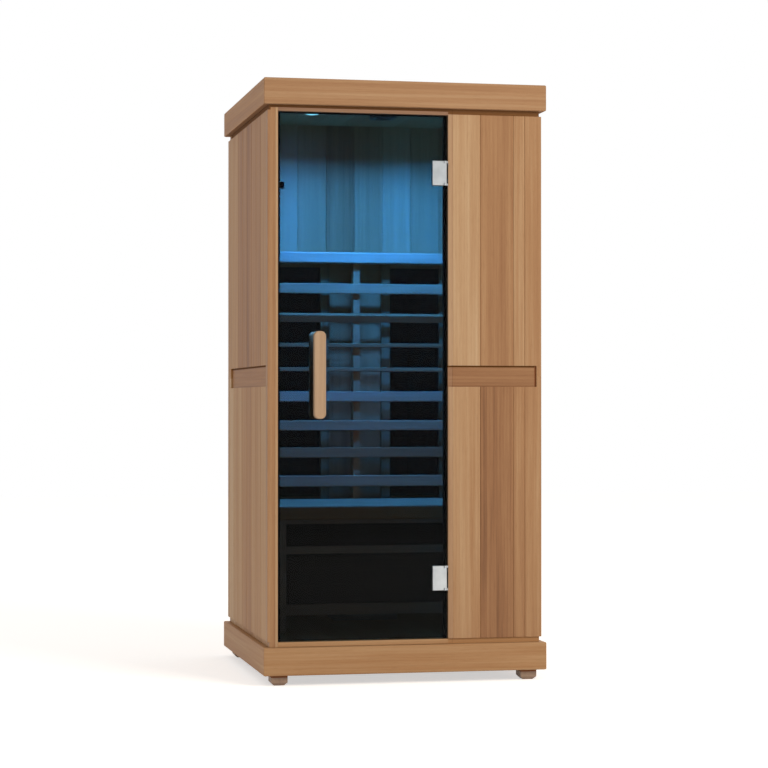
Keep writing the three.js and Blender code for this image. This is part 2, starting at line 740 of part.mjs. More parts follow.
function addCeilingLight() {
  const flangeTop = -SEAM;
  const rim = -LIGHT_FLANGE;
  const profile = arc(0, 0, 1, -Math.PI / 2, 0).map(([across, down]) => (
    [LIGHT_LENS_RADIUS * across, rim + LIGHT_LENS_DROP * down]
  ));
  profile[0][0] = 0;
  profile.push(
    [LIGHT_RADIUS - LIGHT_CHAMFER, rim],
    [LIGHT_RADIUS, rim + LIGHT_CHAMFER],
    [LIGHT_RADIUS, flangeTop],
    [LIGHT_BODY_RADIUS, flangeTop],
    [LIGHT_BODY_RADIUS, LIGHT_BODY_HEIGHT],
    [0, LIGHT_BODY_HEIGHT],
  );
  const points = profile.map(([radius, height]) => new THREE.Vector2(radius, height));
  const light = new THREE.LatheGeometry(points, DISC_SIDES).rotateX(Math.PI / 2);
  addPiece('ceiling_light', light.translate(LIGHT_X, LIGHT_Y, ceilingLevel), 'lightLens');
}

function addVent() {
  const frameTop = ceilingLevel - SEAM;
  const frameBottom = frameTop - VENT_HEIGHT;
  const channelBottom = frameBottom + VENT_FLOOR;
  const channelTop = channelBottom + VENT_SLIDE_THICKNESS + 2 * VENT_SLIDE_CLEARANCE;
  const channelY = widened(around(VENT_Y, VENT_LENGTH), -VENT_WALL);
  const body = chamferedUnderside(
    around(VENT_X, VENT_WIDTH), around(VENT_Y, VENT_LENGTH), [frameBottom, frameTop], VENT_CHAMFER,
  );
  const channel = block(
    widened(around(VENT_X, VENT_SLIDE_WIDTH), VENT_SLIDE_CLEARANCE), channelY, [channelBottom, channelTop],
  );
  const windowY = widened(channelY, -VENT_LEDGE);
  const window = block(ventWindowX, windowY, widened([frameBottom, frameTop], BOOLEAN_MARGIN));
  addPiece('vent_frame', cut(body, channel, window), 'blackPlastic');

  const plateBottom = channelBottom + VENT_SLIDE_CLEARANCE;
  const plate = block(
    around(VENT_X, VENT_SLIDE_WIDTH),
    around(ventSlideMiddle, ventSlideLength),
    [plateBottom, plateBottom + VENT_SLIDE_THICKNESS],
  );
  const knob = uprightCylinder(
    VENT_KNOB_RADIUS, [plateBottom - VENT_KNOB_LENGTH, plateBottom + SEAM], VENT_X, ventSlideMiddle,
  );
  addPiece('vent_slide', join(plate, knob), 'blackPlastic');
}

// Bench and what lies under it

function addBench() {
  const across = [-innerX + SEAM, innerX - SEAM];
  const seatBack = postFront - SEAM;
  const seatSpan = [seatUnderside, BENCH_TOP];
  const boardWidth = (seatBack - benchFrontEdge - (SEAT_BOARD_COUNT - 1) * SEAT_GAP) / SEAT_BOARD_COUNT;
  const edge = noseOutline(
    [benchFrontEdge, benchFrontEdge + BENCH_EDGE_THICKNESS], [benchEdgeBottom, BENCH_TOP], SEAT_NOSE_ROUND,
  );
  const boards = [prismX(edge, across)];
  for (let index = 0; index < SEAT_BOARD_COUNT; index += 1) {
    const front = benchFrontEdge + index * (boardWidth + SEAT_GAP);
    const outline = noseOutline([front, front + boardWidth], seatSpan, SEAT_NOSE_ROUND);
    boards.push(prismX(outline, across));
  }
  const battenX = innerX - BATTEN_INSET;
  const battens = [-battenX, 0, battenX].map((x) => block(
    around(x, BATTEN_WIDTH),
    [benchFrontBack + BATTEN_SETBACK, seatBack],
    [seatUnderside - BATTEN_HEIGHT, seatUnderside + SEAT_NOSE_ROUND],
  ));
  addPiece('bench_seat', join(...boards, ...battens), 'benchWood');

  const windowX = widened(across, -BENCH_STILE_WIDTH);
  const toeTop = floorTop + BENCH_TOE_SPACE;
  const windowBottom = toeTop + BENCH_BOTTOM_RAIL;
  const windowTop = benchEdgeBottom - BENCH_TOP_RAIL;
  const through = widened([benchFrontFace, benchFrontBack], BOOLEAN_MARGIN);
  const front = block(across, [benchFrontFace, benchFrontBack], [floorTop + SEAM, benchEdgeBottom - SEAM]);
  const toeSpace = block(windowX, through, [floorTop - BOOLEAN_MARGIN, toeTop]);
  const lowerWindow = block(windowX, through, [windowBottom, BENCH_MID_RAIL_BOTTOM]);
  const upperWindow = block(windowX, through, [BENCH_MID_RAIL_BOTTOM + BENCH_MID_RAIL, windowTop]);
  addPiece('bench_front', cut(front, toeSpace, lowerWindow, upperWindow), 'benchWood');

  const heater = heaterPanel(
    widened(windowX, LEG_HEATER_LAP),
    benchFrontBack + SEAM,
    widened([windowBottom, windowTop], LEG_HEATER_LAP),
    false,
  );
  addPiece('leg_heater', heater, 'heaterBlack');
}

// Heater tray with a lip round its recessed face and a raised emitter along its middle
function heaterPanel(xSpan, front, zSpan, upright) {
  const tray = block(xSpan, [front, front + HEATER_DEPTH], zSpan);
  const recess = block(
    widened(xSpan, -HEATER_LIP),
    [front - BOOLEAN_MARGIN, front + HEATER_RECESS],
    widened(zSpan, -HEATER_LIP),
  );
  const emitterFront = front + HEATER_RECESS - EMITTER_HEIGHT;
  const emitterY = [emitterFront, front + HEATER_RECESS + SEAM];
  const middleX = (xSpan[0] + xSpan[1]) / 2;
  const middleZ = (zSpan[0] + zSpan[1]) / 2;
  const emitter = upright
    ? block(around(middleX, EMITTER_WIDTH), emitterY, widened(zSpan, -2 * HEATER_LIP))
    : block(widened(xSpan, -2 * HEATER_LIP), emitterY, around(middleZ, EMITTER_WIDTH));
  return join(cut(tray, recess), emitter);
}

function addPowerBox() {
  const xSpan = around(0, POWER_BOX.width);
  const back = innerY - POWER_BOX.backGap;
  const ySpan = [back - POWER_BOX.depth, back];
  const base = floorTop + SEAM;
  const body = block(xSpan, ySpan, [base, base + POWER_BOX.height]);
  const lidSpan = [base + POWER_BOX.height - POWER_BOX.lidHeight, base + POWER_BOX.height];
  const lid = block(widened(xSpan, POWER_BOX.lidLip), widened(ySpan, POWER_BOX.lidLip), lidSpan);
  const glandZ = base + (POWER_BOX.height - POWER_BOX.lidHeight) / 2;
  const gland = levelCylinder(GLAND.radius, [back - SEAM, back + GLAND.length], 0, glandZ);
  addPiece('power_box', join(body, lid, gland), 'boxSteel');
}

// Backrest, its ledge and the heaters behind it

function wedgeOutline([low, high]) {
  return [
    [slatBack, low],
    [slatBack - WEDGE_TOE, low],
    [slatFront, high - WEDGE_BEVEL],
    [slatBack, high],
  ];
}

function addBackrest() {
  const across = [-innerX + SEAM, innerX - SEAM];
  SLATS.forEach(([middle, height], index) => {
    const number = index + 1;
    const span = around(middle, height);
    const outline = number === WEDGE_SLAT
      ? wedgeOutline(span)
      : noseOutline([slatFront, slatBack], span, SLAT_EDGE_ROUND);
    addPiece(`backrest_slat_${number}`, prismX(outline, across), 'benchWood');
  });
  const ledgeSpan = [LEDGE_BOTTOM, LEDGE_BOTTOM + LEDGE_HEIGHT];
  const ledge = noseOutline([slatFront - LEDGE_OVERHANG, innerY - SEAM], ledgeSpan, LEDGE_ROUND);
  addPiece('backrest_ledge', prismX(ledge, across), 'benchWood');
  const rib = block(
    around(0, RIB_WIDTH), [slatBack + SEAM, innerY - SEAM], [BENCH_TOP + SEAM, LEDGE_BOTTOM - SEAM],
  );
  addPiece('centre_rib', rib, 'benchWood');
  const heaterSpan = [BENCH_TOP + HEATER_LIFT, LEDGE_BOTTOM - HEATER_TOP_GAP];
  const bay = [INNER_POST_X + POST_WIDTH / 2 + HEATER_GAP, outerPostX - POST_WIDTH / 2 - HEATER_GAP];
  const front = innerY - SEAM - HEATER_DEPTH;
  addPiece('back_heater_right', heaterPanel(bay, front, heaterSpan, true), 'heaterBlack');
  addPiece('back_heater_left', heaterPanel(mirrored(bay), front, heaterSpan, true), 'heaterBlack');
}

function addControlPanel() {
  const middleX = (panelLeft + innerX) / 2;
  const xSpan = around(middleX, CONTROL.width);
  const zSpan = around(CONTROL.centreZ, CONTROL.height);
  const depthSpan = [-innerY + SEAM, -innerY + SEAM + CONTROL.depth];
  const body = chamferedFace(mirrored(xSpan), mirrored(depthSpan), zSpan, CONTROL_CHAMFER).rotateZ(Math.PI);
  const screen = block(
    around(middleX, SCREEN.width),
    [depthSpan[1] - SCREEN.depth, depthSpan[1] + BOOLEAN_MARGIN],
    around(CONTROL.centreZ + SCREEN.rise, SCREEN.height),
  );
  addPiece('control_panel', cut(body, screen), 'blackPlastic');
}

// Glass door, its hinges, handles and catch

const bossX = pivot.x - PIVOT_REACH - HINGE_PLATE_WIDTH / 2;
const bossOffsets = [-CLAMP_BOSS_SPACING / 2, CLAMP_BOSS_SPACING / 2];
const boltOffsets = { lower: -BOLT_SPACING / 2, upper: BOLT_SPACING / 2 };

function addGlass() {
  const pane = block(
    [openingLeft + GLASS_GAP, openingRight - GLASS_GAP],
    [glassFront, glassBack],
    [openingBottom + GLASS_GAP, openingTop - GLASS_GAP],
  );
  const through = widened([glassFront, glassBack], BOOLEAN_MARGIN);
  const hingeHoles = Object.values(hingeCentres).flatMap((centre) => bossOffsets.map((offset) => (
    levelCylinder(CLAMP_BOSS_RADIUS + GLASS_HOLE_CLEARANCE, through, bossX, centre + offset)
  )));
  const boltHoles = Object.values(boltOffsets).map((offset) => (
    levelCylinder(BOLT_RADIUS + GLASS_HOLE_CLEARANCE, through, handleX, HANDLE_CENTRE_HEIGHT + offset)
  ));
  addPiece('door_glass', cut(pane, ...hingeHoles, ...boltHoles), 'tintedGlass');
}

// Outer clamp plate whose rounded edge is the door's knuckle, round the pin
function outerHingePlate(centre) {
  const right = pivot.x - PIVOT_REACH;
  const ySpan = [glassFront - SEAM - HINGE_PLATE_THICKNESS, glassFront - SEAM];
  const zSpan = around(centre, HINGE_HEIGHT);
  const plate = chamferedFace([right - HINGE_PLATE_WIDTH, right], ySpan, zSpan, HINGE_PLATE_CHAMFER);
  const knuckleSpan = widened(zSpan, -JAMB_KNUCKLE_HEIGHT - KNUCKLE_GAP);
  const bridge = block([right - HINGE_PLATE_CHAMFER, pivot.x], ySpan, knuckleSpan);
  const knuckle = uprightCylinder(KNUCKLE_RADIUS, knuckleSpan, pivot.x, pivot.y);
  const bore = uprightCylinder(PIN_RADIUS + PIN_CLEARANCE, widened(zSpan, BOOLEAN_MARGIN), pivot.x, pivot.y);
  return cut(join(plate, bridge, knuckle), bore);
}

// Inner clamp plate, whose bosses pass through the glass
function innerHingePlate(centre) {
  const right = pivot.x - PIVOT_REACH;
  const xSpan = [right - HINGE_PLATE_WIDTH, right - HINGE_PLATE_WIDTH + INNER_PLATE_WIDTH];
  const ySpan = [glassBack + SEAM, glassBack + SEAM + INNER_PLATE_THICKNESS];
  const zSpan = around(centre, HINGE_HEIGHT);
  const plate = chamferedFace(mirrored(xSpan), mirrored(ySpan), zSpan, HINGE_PLATE_CHAMFER).rotateZ(Math.PI);
  const bosses = bossOffsets.map((offset) => (
    levelCylinder(CLAMP_BOSS_RADIUS, [glassFront, ySpan[0] + SEAM], bossX, centre + offset)
  ));
  return join(plate, ...bosses);
}

// Leaf let into the side of the jamb, with a knuckle at each end of the pin
function jambLeaf(centre) {
  const zSpan = around(centre, HINGE_HEIGHT);
  const leaf = block([openingRight, openingRight + LEAF_THICKNESS], leafRun, zSpan);
  const ends = [[zSpan[0], zSpan[0] + JAMB_KNUCKLE_HEIGHT], [zSpan[1] - JAMB_KNUCKLE_HEIGHT, zSpan[1]]];
  const knuckles = ends.flatMap((span) => [
    block([pivot.x, openingRight + SEAM], [leafFront, leafFront + LEAF_WEB_THICKNESS], span),
    uprightCylinder(KNUCKLE_RADIUS, span, pivot.x, pivot.y),
  ]);
  const pin = uprightCylinder(PIN_RADIUS, zSpan, pivot.x, pivot.y);
  return join(leaf, ...knuckles, pin);
}

function addHinges() {
  for (const [place, centre] of Object.entries(hingeCentres)) {
    addPiece(`${place}_hinge_outer_plate`, outerHingePlate(centre), 'satinMetal');
    addPiece(`${place}_hinge_inner_plate`, innerHingePlate(centre), 'satinMetal');
    addPiece(`${place}_hinge_jamb_leaf`, jambLeaf(centre), 'satinMetal');
  }
}

function roundedRectangle(width, height, radius) {
  const u = width / 2 - radius;
  const v = height / 2 - radius;
  const shape = new THREE.Shape();
  shape.absarc(u, -v, radius, -Math.PI / 2, 0);
  shape.absarc(u, v, radius, 0, Math.PI / 2);
  shape.absarc(-u, v, radius, Math.PI / 2, Math.PI);
  shape.absarc(-u, -v, radius, Math.PI, Math.PI * 1.5);
  return shape;
}

function handleBar(ySpan, boltFace) {
  const round = HANDLE_EDGE_ROUND;
  const outline = roundedRectangle(
    HANDLE_WIDTH - 2 * round, HANDLE_LENGTH - 2 * round, HANDLE_CORNER_RADIUS - round,
  );
  const bevel = {
    bevelEnabled: true, bevelSize: round, bevelThickness: round, bevelSegments: 2, curveSegments: ARC_STEPS,
  };
  const bar = prismY(outline, widened(ySpan, -round), bevel);
  bar.translate(handleX, 0, HANDLE_CENTRE_HEIGHT);
  const holes = Object.values(boltOffsets).map((offset) => levelCylinder(
    BOLT_RADIUS + SEAM, around(boltFace, 2 * (BOLT_DEPTH + SEAM)), handleX, HANDLE_CENTRE_HEIGHT + offset,
  ));
  return cut(bar, ...holes);
}

function addHandles() {
  const outerBack = glassFront - HANDLE_GAP;
  const innerFront = glassBack + HANDLE_GAP;
  const outerBar = handleBar([outerBack - HANDLE_THICKNESS, outerBack], outerBack);
  const innerBar = handleBar([innerFront, innerFront + HANDLE_THICKNESS], innerFront);
  addPiece('door_handle_outer', outerBar, 'handleWood');
  addPiece('door_handle_inner', innerBar, 'handleWood');
  for (const [place, offset] of Object.entries(boltOffsets)) {
    const height = HANDLE_CENTRE_HEIGHT + offset;
    const rod = levelCylinder(
      BOLT_RADIUS, [outerBack - BOLT_DEPTH, innerFront + BOLT_DEPTH], handleX, height,
    );
    const outerSpacer = levelCylinder(
      BOLT_SPACER_RADIUS, [outerBack + SEAM, glassFront - SEAM], handleX, height,
    );
    const innerSpacer = levelCylinder(
      BOLT_SPACER_RADIUS, [glassBack + SEAM, innerFront - SEAM], handleX, height,
    );
    addPiece(`handle_bolt_${place}`, join(rod, outerSpacer, innerSpacer), 'satinMetal');
  }
}

function addDoorCatch() {
  const front = glassBack + CATCH_CLEARANCE;
  const catchBlock = chamferedFace(
    [openingLeft + SEAM, openingLeft + CATCH_WIDTH],
    [front, stopFront + CATCH_DEPTH],
    around(catchHeight, CATCH_HEIGHT),
    CATCH_CHAMFER,
  );
  addPiece('door_catch', catchBlock, 'blackPlastic');
}

addFeet();
addMitredBoards('plinth', PLINTH_OVERHANG, PLINTH_THICKNESS, [FOOT_HEIGHT, plinthTop]);
addFloor();
addSideWalls();
addBackWall();
addFrontPanel();
addLeftStile();
addHeadRail();
addDoorSill();
addHingeJamb();
addRoof();
addMitredBoards('cap', CAP_OVERHANG, CAP_THICKNESS, [capBottom, CABIN_HEIGHT]);
addCeilingLight();
addVent();
addBench();
addPowerBox();
addBackrest();
addControlPanel();
addGlass();
addHinges();
addHandles();
addDoorCatch();

// The origin is the middle of the cabin's outline on the floor, with the outer handle counted in.
const backReach = halfDepth + Math.max(CAP_OVERHANG, PLINTH_OVERHANG);
const frontReach = Math.max(backReach, -glassFront + HANDLE_GAP + HANDLE_THICKNESS);
cabin.position.y = (frontReach - backReach) / 2;

export default cabin;
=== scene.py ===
import math

import bmesh
import bpy
from mathutils import Matrix, Vector


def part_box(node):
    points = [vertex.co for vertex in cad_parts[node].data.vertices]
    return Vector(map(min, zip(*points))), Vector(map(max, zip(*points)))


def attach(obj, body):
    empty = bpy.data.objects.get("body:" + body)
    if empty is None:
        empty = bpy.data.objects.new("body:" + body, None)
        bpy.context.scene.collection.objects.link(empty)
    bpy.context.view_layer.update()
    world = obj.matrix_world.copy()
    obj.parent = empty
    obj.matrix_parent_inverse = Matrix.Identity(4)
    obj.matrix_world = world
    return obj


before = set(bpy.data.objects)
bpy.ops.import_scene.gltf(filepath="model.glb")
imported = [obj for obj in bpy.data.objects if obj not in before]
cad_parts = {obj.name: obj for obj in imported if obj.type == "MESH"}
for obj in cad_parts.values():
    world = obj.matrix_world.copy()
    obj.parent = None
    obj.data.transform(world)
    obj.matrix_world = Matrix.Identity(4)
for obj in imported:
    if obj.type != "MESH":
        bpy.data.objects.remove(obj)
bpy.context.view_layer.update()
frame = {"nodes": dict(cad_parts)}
NODES = frame["nodes"]
AXES = {"x": 0, "y": 1, "z": 2}
BEYOND = 10.0  # past every piece, in metres

# Camera of the photograph
IMAGE_SIDE = 768
FOCAL_PIXELS = 2260.05
SENSOR = 36.0
CAMERA_PLACE = Vector((-1.54159, -7.42033, 0.88297))
CAMERA_YAW = math.radians(11.874)
CAMERA_PITCH = math.radians(0.506)
CLIP_END = 100.0

# Boards of the cabin, in metres
OUTER_BOARD, LINING_BOARD, FLOOR_BOARD, CEILING_BOARD = 0.102, 0.1006, 0.090, 0.096  # widths
FRONT_SEAMS = (0.0, 0.3085, 0.6822, 0.8090, 1.0)  # shares of the front panel's width
FLOOR_HALF = 0.4077  # half the width of the floor boards' run
BOARD_SPAN = (0.138, 1.805)  # bottom and top of the outer boards
NECK_NEAR, NECK_FAR = 0.004, 0.010  # how far behind the boards' face the necks lie
HEAD_FACE_TOP = 1.813
HEAD_STOP = 0.0043  # height of the stop under the head rail
STILE_HIGHLIGHT_STRIP = 0.009  # paler edge strip of the stile beside the door, a painted highlight where its rounded edge catches the light
BELT_HALF = 0.0335  # half the belt's height
BELT_NEAR, BELT_FAR = 0.005, 0.020  # how far behind the boards' face the belt lies
BELT_CORNER_STRIP = 0.016  # board left beside the belt at the front right corner
BELT_SHADOW, BELT_LAP = 0.0055, 0.0004  # width of the painted shadow along the belt's top edge and end, on it and past it
FOOT_SHADE = 0.007  # height of the painted shade on the tops of the feet, under the plinth
UNDERSIDE = 0.0008  # thickness of the painted shade on a board's lower face
POST_DEPTH = 0.0205  # of the posts in front of the back lining
SAWN_EDGE, MOULDED_EDGE = 0.0006, 0.0005  # widths of softened edges

# Wood tones run from a red-brown heartwood (0) to a pale tan (1)
WOOD_STOPS = (
    (0.00, (0.150, 0.064, 0.028)),
    (0.20, (0.292, 0.136, 0.058)),
    (0.50, (0.395, 0.210, 0.096)),
    (0.80, (0.492, 0.308, 0.166)),
    (1.00, (0.560, 0.385, 0.235)),
)
TONE_LOW, TONE_HIGH = 0.20, 0.80  # where boards of tone 0 and 1 lie among the stops
TONE_SHIFT = 53.0  # metres along the grain between boards one tone apart

# Figure of the wood: sizes along the grain and across it, in cycles per metre, and weights
BROAD_GRAIN, BROAD_WEIGHT = (0.9, 19.0, 19.0), 0.42
STREAK_GRAIN, STREAK_WEIGHT = (1.7, 75.0, 75.0), 0.46
FIBRE_GRAIN, FIBRE_WEIGHT = (9.0, 620.0, 620.0), 0.26
PORE_GRAIN, PORE_SHARE = (26.0, 1500.0, 1500.0), 0.55
PORE_STOPS = ((0.30, (0.72, 0.66, 0.60)), (0.40, (1.0, 1.0, 1.0)))
RING_RATE, RING_WANDER, RING_WEIGHT = 520.0, 15.0, 0.022  # radians per metre, radians, weight
FIBRE_RELIEF, RING_RELIEF = 0.7, 0.15
WOOD_ROUGHNESS = (0.44, 0.66)
WOOD_SPECULAR = 0.28
WOOD_BUMP = {"strength": 0.22, "distance": 0.0007}

# Painted shade on the wood: dark colours where shade falls in gaps, in recesses and under parts
STOP_SHADE = (0.006, 0.004, 0.003, 1.0)  # painted shade: black on the stops round the door, where the gaps beside the glass lie in shadow
NECK_SHADE = (0.205, 0.094, 0.036, 1.0)  # painted shade in the gaps under the cap
CAP_UNDERSIDE_SHADE = (0.300, 0.152, 0.070, 1.0)  # painted shade on the lower face of the cap's sides
PLINTH_GAP_SHADE = (0.425, 0.230, 0.106, 1.0)  # painted shade, one even shaded colour, in the gap over the plinth
BELT_TOP_SHADE = (0.130, 0.052, 0.014, 1.0)  # painted shadow along the top edge of the belt, under the boards above
BELT_END_AND_FOOT_SHADE = (0.235, 0.085, 0.033, 1.0)  # painted shade at the end of the belt and on the tops of the feet
# painted shade that darkens the posts in front of the back lining, at the share
POST_SHADE, POST_SHARE = (0.090, 0.046, 0.020, 1.0), 0.5
# rougher surface where shade is painted, so that it shows little sheen
PAINTED_SHADE_ROUGHNESS = 0.98

# Tone of each board, from left to right, from front to back or from the top down
FRONT_TONES_ABOVE = (0.94, 0.36, 0.66, 0.57)
FRONT_TONES_BELOW = (0.62, 0.02, 0.38, 0.47)
FRONT_BELT_TONE, SIDE_BELT_TONE = 0.12, 0.20
SIDE_TONES_ABOVE = (0.62, 0.33, 0.40, 0.00, 0.20, 0.18, 0.58, 0.70)
SIDE_TONES_BELOW = (0.90, 0.62, 0.70, 0.34, 0.54, 0.76, 0.76, 1.18)
BACK_TONES = (0.62, 0.86, 0.44, 0.70, 0.52, 0.92, 0.38, 0.76, 0.58)
STILE_TONES = (0.42, 0.82)
BACK_LINING_TONES = (0.58, 0.86, 0.52, -0.06, 0.30, 0.74, 0.58, 0.40)
SIDE_LINING_TONES = (0.82, 0.54, 0.92, 0.66, 0.48, 0.88, 0.74, 0.60)
FRONT_LINING_TONES = (0.78, 0.58, 0.90)
FLOOR_TONES = (0.70, 0.86, 0.58, 0.78, 0.64, 0.90)
CEILING_TONES = (0.84, 0.62, 0.76, 0.92, 0.68)
SLAT_TONES = (0.80, 0.10, 0.24, 0.28, 1.22, 0.86, 0.26, 0.88)


class Graph:
    """The nodes of a material or of the world."""

    def __init__(self, tree):
        self.tree = tree
        tree.nodes.clear()

    def add(self, kind, inputs=None, **settings):
        made = self.tree.nodes.new(kind)
        for key, value in settings.items():
            setattr(made, key, value)
        for key, value in (inputs or {}).items():
            self.put(made.inputs[key], value)
        return made

    def put(self, socket, value):
        if isinstance(value, bpy.types.NodeSocket):
            self.tree.links.new(value, socket)
        else:
            socket.default_value = value

    def math(self, operation, a, b=0.0):
        return self.add("ShaderNodeMath", {0: a, 1: b}, operation=operation).outputs[0]

    def seen(self, path):
        """1 on rays of the camera, of reflections and through glass, from a Light Path's outputs."""
        rays = path["Is Camera Ray"]
        for kind in ("Is Glossy Ray", "Is Transmission Ray"):
            rays = self.math("MAXIMUM", rays, path[kind])
        return rays


class Shader(Graph):
    """One node material with a Principled surface."""

    def __init__(self, name):
        self.material = bpy.data.materials.new(name)
        self.material.use_nodes = True
        super().__init__(self.material.node_tree)
        self.surface = self.add("ShaderNodeBsdfPrincipled")
        self.add("ShaderNodeOutputMaterial", {"Surface": self.surface.outputs[0]})
        self.place = self.add("ShaderNodeTexCoord").outputs["Object"]

    def set(self, **values):
        for key, value in values.items():
            self.put(self.surface.inputs[key.replace("_", " ")], value)

    def sum(self, first, *others):
        for other in others:
            first = self.math("ADD", first, other)
        return first

    def spread(self, value, low, high, clamp=True):
        """The value, which runs from 0 to 1, from low to high."""
        return self.add("ShaderNodeMapRange", {0: value, 3: low, 4: high}, clamp=clamp).outputs[0]

    def swing(self, value, weight):
        """The value, which lies about 0.5, as a change of up to half the weight either way."""
        return self.spread(value, -weight / 2, weight / 2, clamp=False)

    def between(self, value, low, high):
        above = self.math("GREATER_THAN", value, low)
        return self.math("MULTIPLY", above, self.math("LESS_THAN", value, high))

    def split(self):
        parts = self.add("ShaderNodeSeparateXYZ", {0: self.place}).outputs
        return {axis: parts[index] for axis, index in AXES.items()}

    def join(self, x, y, z):
        return self.add("ShaderNodeCombineXYZ", {0: x, 1: y, 2: z}).outputs[0]

    def scaled(self, vector, scale):
        made = self.add("ShaderNodeVectorMath", {0: vector, 1: scale}, operation="MULTIPLY")
        return made.outputs[0]

    def noise(self, vector, scale=1.0, detail=3.0, roughness=0.55):
        made = self.add(
            "ShaderNodeTexNoise",
            {"Vector": vector, "Scale": scale, "Detail": detail, "Roughness": roughness},
        )
        return made.outputs["Fac"]

    def ramp(self, factor, stops, interpolation="LINEAR"):
        made = self.add("ShaderNodeValToRGB", {0: factor})
        band = made.color_ramp
        band.interpolation = interpolation
        while len(band.elements) < len(stops):
            band.elements.new(1.0)
        for element, (position, colour) in zip(band.elements, stops):
            element.position = position
            element.color = (*colour, 1.0)
        return made.outputs["Color"]

    def mix(self, factor, a, b, kind="RGBA", blend="MIX"):
        made = self.add("ShaderNodeMix", {0: factor}, data_type=kind, blend_type=blend)
        first, second, result = {"FLOAT": (2, 3, 0), "RGBA": (6, 7, 2)}[kind]
        self.put(made.inputs[first], a)
        self.put(made.inputs[second], b)
        return made.outputs[result]

    def bump(self, height, strength, distance):
        made = self.add(
            "ShaderNodeBump", {"Strength": strength, "Distance": distance, "Height": height}
        )
        self.set(Normal=made.outputs[0])


# Wood


def even_edges(low, high, width):
    count = max(1, round((high - low) / width))
    return [low + (high - low) * index / count for index in range(count + 1)]


def board_tone(shader, across, edges, tones):
    """A tone that steps from board to board, at the seams of the boarded panel."""
    low, high = edges[0], edges[-1]
    factor = shader.add("ShaderNodeMapRange", {0: across, 1: low, 2: high}).outputs[0]
    stops = [
        ((start - low) / (high - low), (tones[index % len(tones)],) * 3)
        for index, start in enumerate(edges[:-1])
    ]
    colour = shader.ramp(factor, stops, "CONSTANT")
    return shader.add("ShaderNodeSeparateColor", {0: colour}).outputs[0]


def flat_tone(value):
    return lambda shader, place: value


def boards(axis, edges, tones):
    return lambda shader, place: board_tone(shader, place[axis], edges, tones)


def split_boards(axis, edges, upper, lower, level):
    """Boards above and below a level have tones of their own."""

    def tone_of(shader, place):
        return shader.mix(
            shader.math("GREATER_THAN", place["z"], level),
            board_tone(shader, place[axis], edges, lower),
            board_tone(shader, place[axis], edges, upper),
            "FLOAT",
        )

    return tone_of


def patch(value, share=1.0, **spans):
    """A tone or a colour for what lies within spans along the named axes. The patch is called with
    a shader and its place along each axis, and gives a mask, up to the share, and the value."""

    def mask_and_value(shader, place):
        mask = share
        for axis, span in spans.items():
            mask = shader.math("MULTIPLY", shader.between(place[axis], *span), mask)
        return mask, value

    return mask_and_value


def behind(face, inward, near, far):
    """The span between two depths behind a face, where inward is 1 or -1."""
    return sorted((face + inward * near, face + inward * far))


def neck_shade(axis, face, inward, above=BOARD_SPAN[1]):
    """Painted shade in the shadow gap where a wall steps back under the cap."""
    spans = {axis: behind(face, inward, NECK_NEAR, NECK_FAR), "z": (above, BEYOND)}
    return patch(NECK_SHADE, **spans)


def wood(
    name, along, across, tone_of, belt=None, contrast=1.0, paler=0.0, saturation=1.0, painted_shades=()
):
    """Sawn softwood with its grain along one axis. tone_of(shader, place) gives each board's tone.
    The belt is a patch of one tone, where the grain runs across. The last argument holds painted
    shade: patches of dark colour where shade falls."""
    shader = Shader(name)
    place = shader.split()
    depth = next(axis for axis in AXES if axis not in (along, across))
    tone = tone_of(shader, place)
    run, side = place[along], place[across]
    if belt:
        mask, belt_tone = belt(shader, place)
        tone = shader.mix(mask, tone, belt_tone, "FLOAT")
        run, side = shader.mix(mask, run, side, "FLOAT"), shader.mix(mask, side, run, "FLOAT")
    shifted = shader.sum(run, shader.math("MULTIPLY", tone, TONE_SHIFT))
    grain = shader.join(shifted, side, place[depth])
    broad = shader.noise(shader.scaled(grain, BROAD_GRAIN), detail=2.0)
    streak = shader.noise(shader.scaled(grain, STREAK_GRAIN), detail=3.0)
    fibre = shader.noise(shader.scaled(grain, FIBRE_GRAIN), detail=4.0, roughness=0.65)
    pores = shader.noise(shader.scaled(grain, PORE_GRAIN), detail=1.0)
    wander = shader.math("MULTIPLY", broad, RING_WANDER)
    rings = shader.math("SINE", shader.sum(shader.math("MULTIPLY", side, RING_RATE), wander))
    figure = shader.sum(
        shader.swing(broad, BROAD_WEIGHT * contrast),
        shader.swing(streak, STREAK_WEIGHT * contrast),
        shader.swing(fibre, FIBRE_WEIGHT * contrast),
        shader.math("MULTIPLY", rings, RING_WEIGHT * contrast),
    )
    shade = shader.sum(shader.spread(tone, TONE_LOW, TONE_HIGH, clamp=False), figure)
    stops = [(stop, tuple(min(1.0, part + paler) for part in rgb)) for stop, rgb in WOOD_STOPS]
    colour = shader.ramp(shade, stops)
    colour = shader.mix(PORE_SHARE, colour, shader.ramp(pores, PORE_STOPS), blend="MULTIPLY")
    tint = shader.add("ShaderNodeHueSaturation", {"Saturation": saturation, "Color": colour})
    colour = tint.outputs[0]
    roughness = shader.spread(fibre, *WOOD_ROUGHNESS)
    # Painted shade: each patch darkens the colour and roughens the surface where shade falls.
    for shade_patch in painted_shades:
        mask, shade_colour = shade_patch(shader, place)
        colour = shader.mix(mask, colour, shade_colour)
        roughness = shader.mix(mask, roughness, PAINTED_SHADE_ROUGHNESS, "FLOAT")
    shader.set(Base_Color=colour, Roughness=roughness, Specular_IOR_Level=WOOD_SPECULAR)
    relief = shader.sum(
        shader.math("MULTIPLY", fibre, FIBRE_RELIEF), shader.math("MULTIPLY", rings, RING_RELIEF)
    )
    shader.bump(relief, **WOOD_BUMP)
    return shader.material


